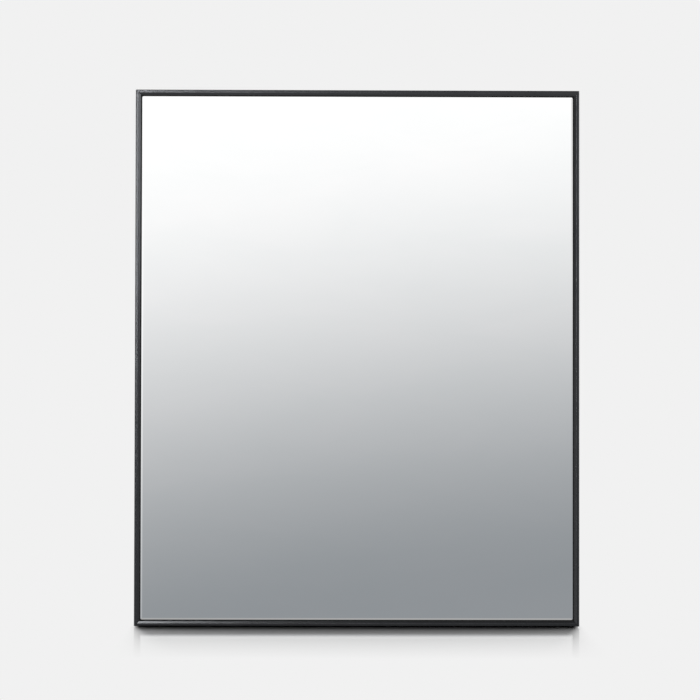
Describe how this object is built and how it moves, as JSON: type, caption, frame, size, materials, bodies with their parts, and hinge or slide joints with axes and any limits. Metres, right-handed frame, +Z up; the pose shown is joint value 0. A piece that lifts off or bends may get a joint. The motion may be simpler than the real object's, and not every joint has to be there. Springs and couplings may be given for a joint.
{
  "type": "medicine cabinet",
  "caption": "Wall-hung cabinet with a hinged mirror door in a thin dark frame, glass shelves and a push latch.",
  "frame": {"origin": "centre of the base's rectangle, at the underside of the cabinet", "axes": "+Z up, -Y out of the mirrored door, +Y to the wall, +X to the right as seen from the front"},
  "size_m": [0.506, 0.13, 0.61],
  "materials": {
    "anodised_frame": "black satin anodised, fine brushed grain",
    "silvered_mirror": "polished silvered glass",
    "shelf_glass": "clear polished glass",
    "black_rubber": "matt black rubber",
    "clear_silicone": "translucent soft pad",
    "stainless_hinge": "brushed stainless steel",
    "zinc_fasteners": "bright zinc plate",
    "cast_keys": "die-cast aluminium",
    "galvanised_sheet": "galvanised sheet steel",
    "latch_plastic": "moulded black plastic",
    "nickel_magnet": "nickel plated magnet"
  },
  "bodies": {
    "cabinet": {"back_panel": "galvanised_sheet", "body_corner_key_bottom_left": "cast_keys", "body_corner_key_bottom_right": "cast_keys", "body_corner_key_top_left": "cast_keys", "body_corner_key_top_right": "cast_keys", "body_hinge_leaf": "stainless_hinge", "body_hinge_screw_1": "zinc_fasteners", "body_hinge_screw_2": "zinc_fasteners", "body_hinge_screw_3": "zinc_fasteners", "body_hinge_screw_4": "zinc_fasteners", "bottom_panel": "anodised_frame", "bottom_panel_screw_1": "zinc_fasteners", "bottom_panel_screw_2": "zinc_fasteners", "bottom_panel_screw_3": "zinc_fasteners", "hanging_rail": "galvanised_sheet", "hinge_pin": "stainless_hinge", "interior_mirror": "silvered_mirror", "latch_housing": "latch_plastic", "latch_screw_1": "zinc_fasteners", "latch_screw_2": "zinc_fasteners", "latch_spring": "stainless_hinge", "left_side": "anodised_frame", "lower_shelf": "shelf_glass", "lower_shelf_clip_left_front": "zinc_fasteners", "lower_shelf_clip_left_rear": "zinc_fasteners", "lower_shelf_clip_right_front": "zinc_fasteners", "lower_shelf_clip_right_rear": "zinc_fasteners", "right_side": "anodised_frame", "top_panel": "anodised_frame", "top_panel_screw_1": "zinc_fasteners", "top_panel_screw_2": "zinc_fasteners", "top_panel_screw_3": "zinc_fasteners", "upper_shelf": "shelf_glass", "upper_shelf_clip_left_front": "zinc_fasteners", "upper_shelf_clip_left_rear": "zinc_fasteners", "upper_shelf_clip_right_front": "zinc_fasteners", "upper_shelf_clip_right_rear": "zinc_fasteners", "wall_rail": "galvanised_sheet"},
    "door": {"door_bottom_rail": "anodised_frame", "door_corner_key_bottom_left": "cast_keys", "door_corner_key_bottom_right": "cast_keys", "door_corner_key_top_left": "cast_keys", "door_corner_key_top_right": "cast_keys", "door_hinge_leaf": "stainless_hinge", "door_hinge_screw_1": "zinc_fasteners", "door_hinge_screw_2": "zinc_fasteners", "door_hinge_screw_3": "zinc_fasteners", "door_hinge_screw_4": "zinc_fasteners", "door_left_stile": "anodised_frame", "door_mirror": "silvered_mirror", "door_right_stile": "anodised_frame", "door_top_rail": "anodised_frame", "glazing_gasket": "black_rubber", "inner_door_mirror": "silvered_mirror", "lower_bumper": "clear_silicone", "strike_plate": "zinc_fasteners", "upper_bumper": "clear_silicone"},
    "push_button": {"latch_plunger": "latch_plastic", "latch_magnet": "nickel_magnet"}
  },
  "joints": [
    {"name": "door_swing", "type": "hinge", "parent": "cabinet", "child": "door", "pos_m": [-0.2504, -0.0424, 0.305], "axis": [0, 0, -1], "range_deg": [0, 100]},
    {"name": "latch_press", "type": "slide", "parent": "cabinet", "child": "push_button", "axis": [0, 1, 0], "range_m": [0, 0.003], "stiffness_N_per_m": 300, "springref_m": -0.006}
  ]
}
